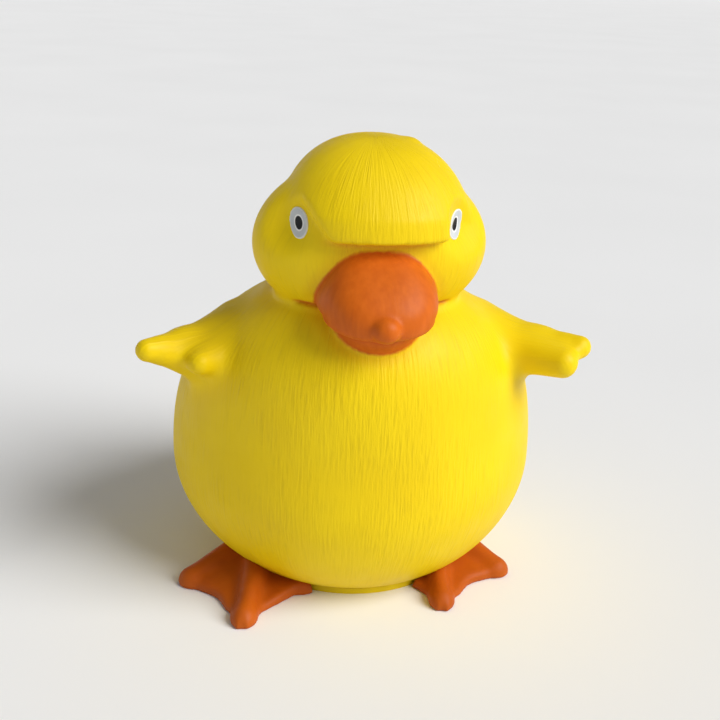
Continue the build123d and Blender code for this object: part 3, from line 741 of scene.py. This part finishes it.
def skin_look():
    look = Look("duck_skin", 0.5)
    yellow = look.mix(look.clouds(look.noise(22.0)), *SKIN_YELLOW)
    on_body = look.noise(STREAK_SCALE, source=look.around(*BODY_DRUM))
    on_head = look.noise(STREAK_SCALE, source=look.around(*HEAD_DRUM))
    streaks = look.blend(look.spread(look.height(), *NECK), on_body, on_head)
    patches = look.spread(look.noise(16.0, 2.0), 0.36, 0.6, 0.2, 1.0)
    streak_shade = look.maths("MULTIPLY", look.spread(streaks, 0.52, 0.75), patches)
    # Painted shade: the yellow darkens along the streaks' fine ridges
    yellow = look.mix(look.maths("MULTIPLY", streak_shade, 0.4), yellow, STREAK_SHADE_YELLOW)
    orange = look.mix(look.clouds(look.noise(1.0, 4.0, stretch=(330.0, 330.0, 70.0))), *BILL_ORANGE)
    from_bill = look.stored("bill")
    ragged = look.spread(look.noise(420.0), 0.2, 0.8, -0.25, 0.25)
    covered = look.spread(look.maths("ADD", from_bill, ragged), 0.3, 1.3, 1.0, 0.0)
    yellow = look.mix(look.spread(from_bill, 0.8, 6.5, 0.32, 0.0), yellow, OVERSPRAY_ORANGE)
    # Painted shade, orange, under the brow and in the mouth's corners; partly overspray
    yellow = look.mix(look.stored("fold_shade_and_overspray"), yellow, FOLD_SHADE_ORANGE)
    look.colour(look.mix(covered, yellow, orange))
    look.roughness(look.clouds(look.noise(70.0, 4.0), 0.42, 0.58))
    unpainted = look.spread(from_bill, 0.3, 1.3, 0.25, 1.0)
    ridges = look.maths("MULTIPLY", look.maths("MULTIPLY", streaks, patches), unpainted)
    first = look.bump(ridges, STREAK_DEPTH, 0.65)
    look.bump(look.noise(1100.0, 2.0), 0.00008, 0.5, first)
    return look.mat


def foot_look():
    look = Look("duck_foot", 0.52)
    look.colour(look.mix(look.clouds(look.noise(55.0, 4.0)), *FOOT_ORANGE))
    look.roughness(look.clouds(look.noise(150.0), 0.44, 0.6))
    first = look.bump(look.noise(1.0, stretch=(260.0, 520.0, 520.0)), 0.0003, 0.4)
    look.bump(look.noise(1000.0, 2.0), 0.00008, 0.5, first)
    return look.mat


def eye_look():
    """Black pupil in a pale ring, on grey with a pale rim."""
    look = Look("duck_eye", 0.34)
    clouds = look.clouds(look.noise(160.0))
    pupil = look.stored("pupil")
    white = look.mix(clouds, *EYE_GREY)
    white = look.mix(look.spread(look.stored("rim"), 0.86, 0.93), white, EYE_RIM)
    white = look.mix(look.spread(pupil, 1.20, 1.28), PUPIL_RING, white)
    black = look.mix(clouds, *PUPIL_BLACK)
    look.colour(look.mix(look.spread(pupil, 0.97, 1.03), black, white))
    look.roughness(look.clouds(look.noise(300.0, 2.0), 0.28, 0.4))
    look.bump(look.noise(700.0, 2.0), 0.00004, 0.5)
    return look.mat


def tablet_look():
    look = Look("tablet", 0.85)
    specks = look.spread(look.noise(900.0, 2.0), 0.6, 0.7)
    look.colour(look.mix(specks, look.mix(look.clouds(look.noise(80.0, 4.0)), *TABLET_WHITE), TABLET_SPECKS))
    first = look.bump(look.noise(240.0, 4.0), 0.0004, 0.6)
    look.bump(look.noise(1500.0, 2.0), 0.00012, 0.8, first)
    return look.mat


def steel_look():
    look = Look("steel", 0.3, 1.0)
    turned = look.noise(1.0, stretch=(400.0, 400.0, 4000.0))
    look.colour(look.mix(look.clouds(turned), *STEEL_GREY))
    look.roughness(look.clouds(turned, 0.22, 0.42))
    look.bump(turned, 0.00003, 0.5)
    return look.mat


def ballast_look():
    look = Look("ballast", 0.6, 0.6)
    pits = look.noise(500.0, 5.0)
    look.colour(look.mix(look.spread(pits, 0.35, 0.65), *BALLAST_GREY))
    look.bump(pits, 0.0004, 0.7)
    return look.mat


def seal_look():
    look = Look("seal", 0.62)
    look.colour(look.mix(look.clouds(look.noise(90.0)), *SEAL_CREAM))
    look.roughness(look.clouds(look.noise(260.0), 0.52, 0.7))
    look.bump(look.noise(800.0, 2.0), 0.0001, 0.6)
    return look.mat


well = moulded("well_plastic", WELL_YELLOW, 0.45)
basket = moulded("basket_plastic", BASKET_GREY, 0.42)
cap = moulded("cap_plastic", CAP_BLUE, 0.4)
dial = moulded("dial_plastic", DIAL_WHITE, 0.38)
seal, steel, tablet = seal_look(), steel_look(), tablet_look()
SCULPTED_LOOKS = (
    ((front_skin, rear_skin), skin_look()),
    (eyes, eye_look()),
    (feet, foot_look()),
    ((grommet_piece,), seal),
)
CAD_LOOKS = {
    "well_housing": well,
    "clamp_ring": well,
    "breather_tube": well,
    "skin_gasket": seal,
    "dial_washer": seal,
    "clamp_screws": steel,
    "knob_screw": steel,
    "ballast_ring": ballast_look(),
    "tablet_basket": basket,
    "tablet_lower": tablet,
    "tablet_middle": tablet,
    "tablet_upper": tablet,
    "vent_cap": cap,
    "shutter_disc": dial,
    "dial_knob": dial,
}
for pieces, material in SCULPTED_LOOKS:
    for piece in pieces:
        piece.data.materials.append(material)
for node, material in CAD_LOOKS.items():
    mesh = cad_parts[node].data
    mesh.materials.clear()
    mesh.materials.append(material)

# ---------------------------------------------------------------- camera, light and floor
# Angles in degrees, lengths in metres
CAMERA_TURN = -8.45
CAMERA_RISE = 20.0
CAMERA_ROLL = 2.39
CAMERA_DISTANCE = 0.550
LOOK_AT = Vector((0.0028, 0.0, 0.1010))
LENS, SENSOR_WIDTH = 55.0, 36.0        # millimetres
WORLD_STRENGTH = 0.24
SUN_DIRECTION = Vector((1.0, -0.64, 0.92))
SUN_STRENGTH = 3.2
SUN_SPREAD = 38.0
# Floor and raised rim of a round studio sweep: radius and height of each ring
SWEEP = ((0.6, 0.0), (3.0, 0.0), (9.0, 0.0), (14.0, 0.0), (16.0, 0.25), (17.5, 0.9), (18.3, 2.0), (18.6, 3.4))
SWEEP_SIDES = 96
FLOOR_DROP = 0.00005                   # of the floor below the flange and the soles


def add_camera():
    turn, rise, roll = radians(CAMERA_TURN), radians(CAMERA_RISE), radians(CAMERA_ROLL)
    back = Vector((sin(turn) * cos(rise), -cos(turn) * cos(rise), sin(rise)))
    right = Vector((cos(turn), sin(turn), 0))
    upward = back.cross(right)
    across = right * cos(roll) + upward * sin(roll)
    above = upward * cos(roll) - right * sin(roll)
    data = bpy.data.cameras.new("camera")
    data.lens = LENS
    data.sensor_width = SENSOR_WIDTH
    camera = add_object("camera", data)
    facing = Matrix((across, above, back)).transposed().to_4x4()
    camera.matrix_world = Matrix.Translation(LOOK_AT + back * CAMERA_DISTANCE) @ facing
    bpy.context.scene.camera = camera


def add_light():
    world = bpy.data.worlds.new("studio")
    bpy.context.scene.world = world
    world.use_nodes = True
    background = world.node_tree.nodes["Background"]
    background.inputs["Color"].default_value = (1, 1, 1, 1)
    background.inputs["Strength"].default_value = WORLD_STRENGTH
    data = bpy.data.lights.new("key_light", "SUN")
    data.energy = SUN_STRENGTH
    data.angle = radians(SUN_SPREAD)
    sun = add_object("key_light", data)
    sun.rotation_euler = (-SUN_DIRECTION).to_track_quat("-Z", "Y").to_euler()


def add_floor():
    bm = bmesh.new()
    turns = [radians(360.0 * i / SWEEP_SIDES) for i in range(SWEEP_SIDES)]
    rings = [[bm.verts.new((r * cos(t), r * sin(t), z - FLOOR_DROP)) for t in turns] for r, z in SWEEP]
    bm.faces.new(rings[0])
    for inner_ring, outer_ring in zip(rings[:-1], rings[1:]):
        for i in range(SWEEP_SIDES):
            j = (i + 1) % SWEEP_SIDES
            bm.faces.new((inner_ring[i], outer_ring[i], outer_ring[j], inner_ring[j]))
    for face in bm.faces:
        face.smooth = True
    mesh = bpy.data.meshes.new("floor")
    bm.to_mesh(mesh)
    bm.free()
    look = Look("floor", 0.9)
    look.colour(look.mix(look.clouds(look.noise(3.0, 2.0)), *FLOOR_WHITE))
    mesh.materials.append(look.mat)
    return add_object("floor", mesh)


add_camera()
add_light()
bpy.context.scene.view_settings.view_transform = "Standard"    # keeps the yellow saturated
floor = add_floor()
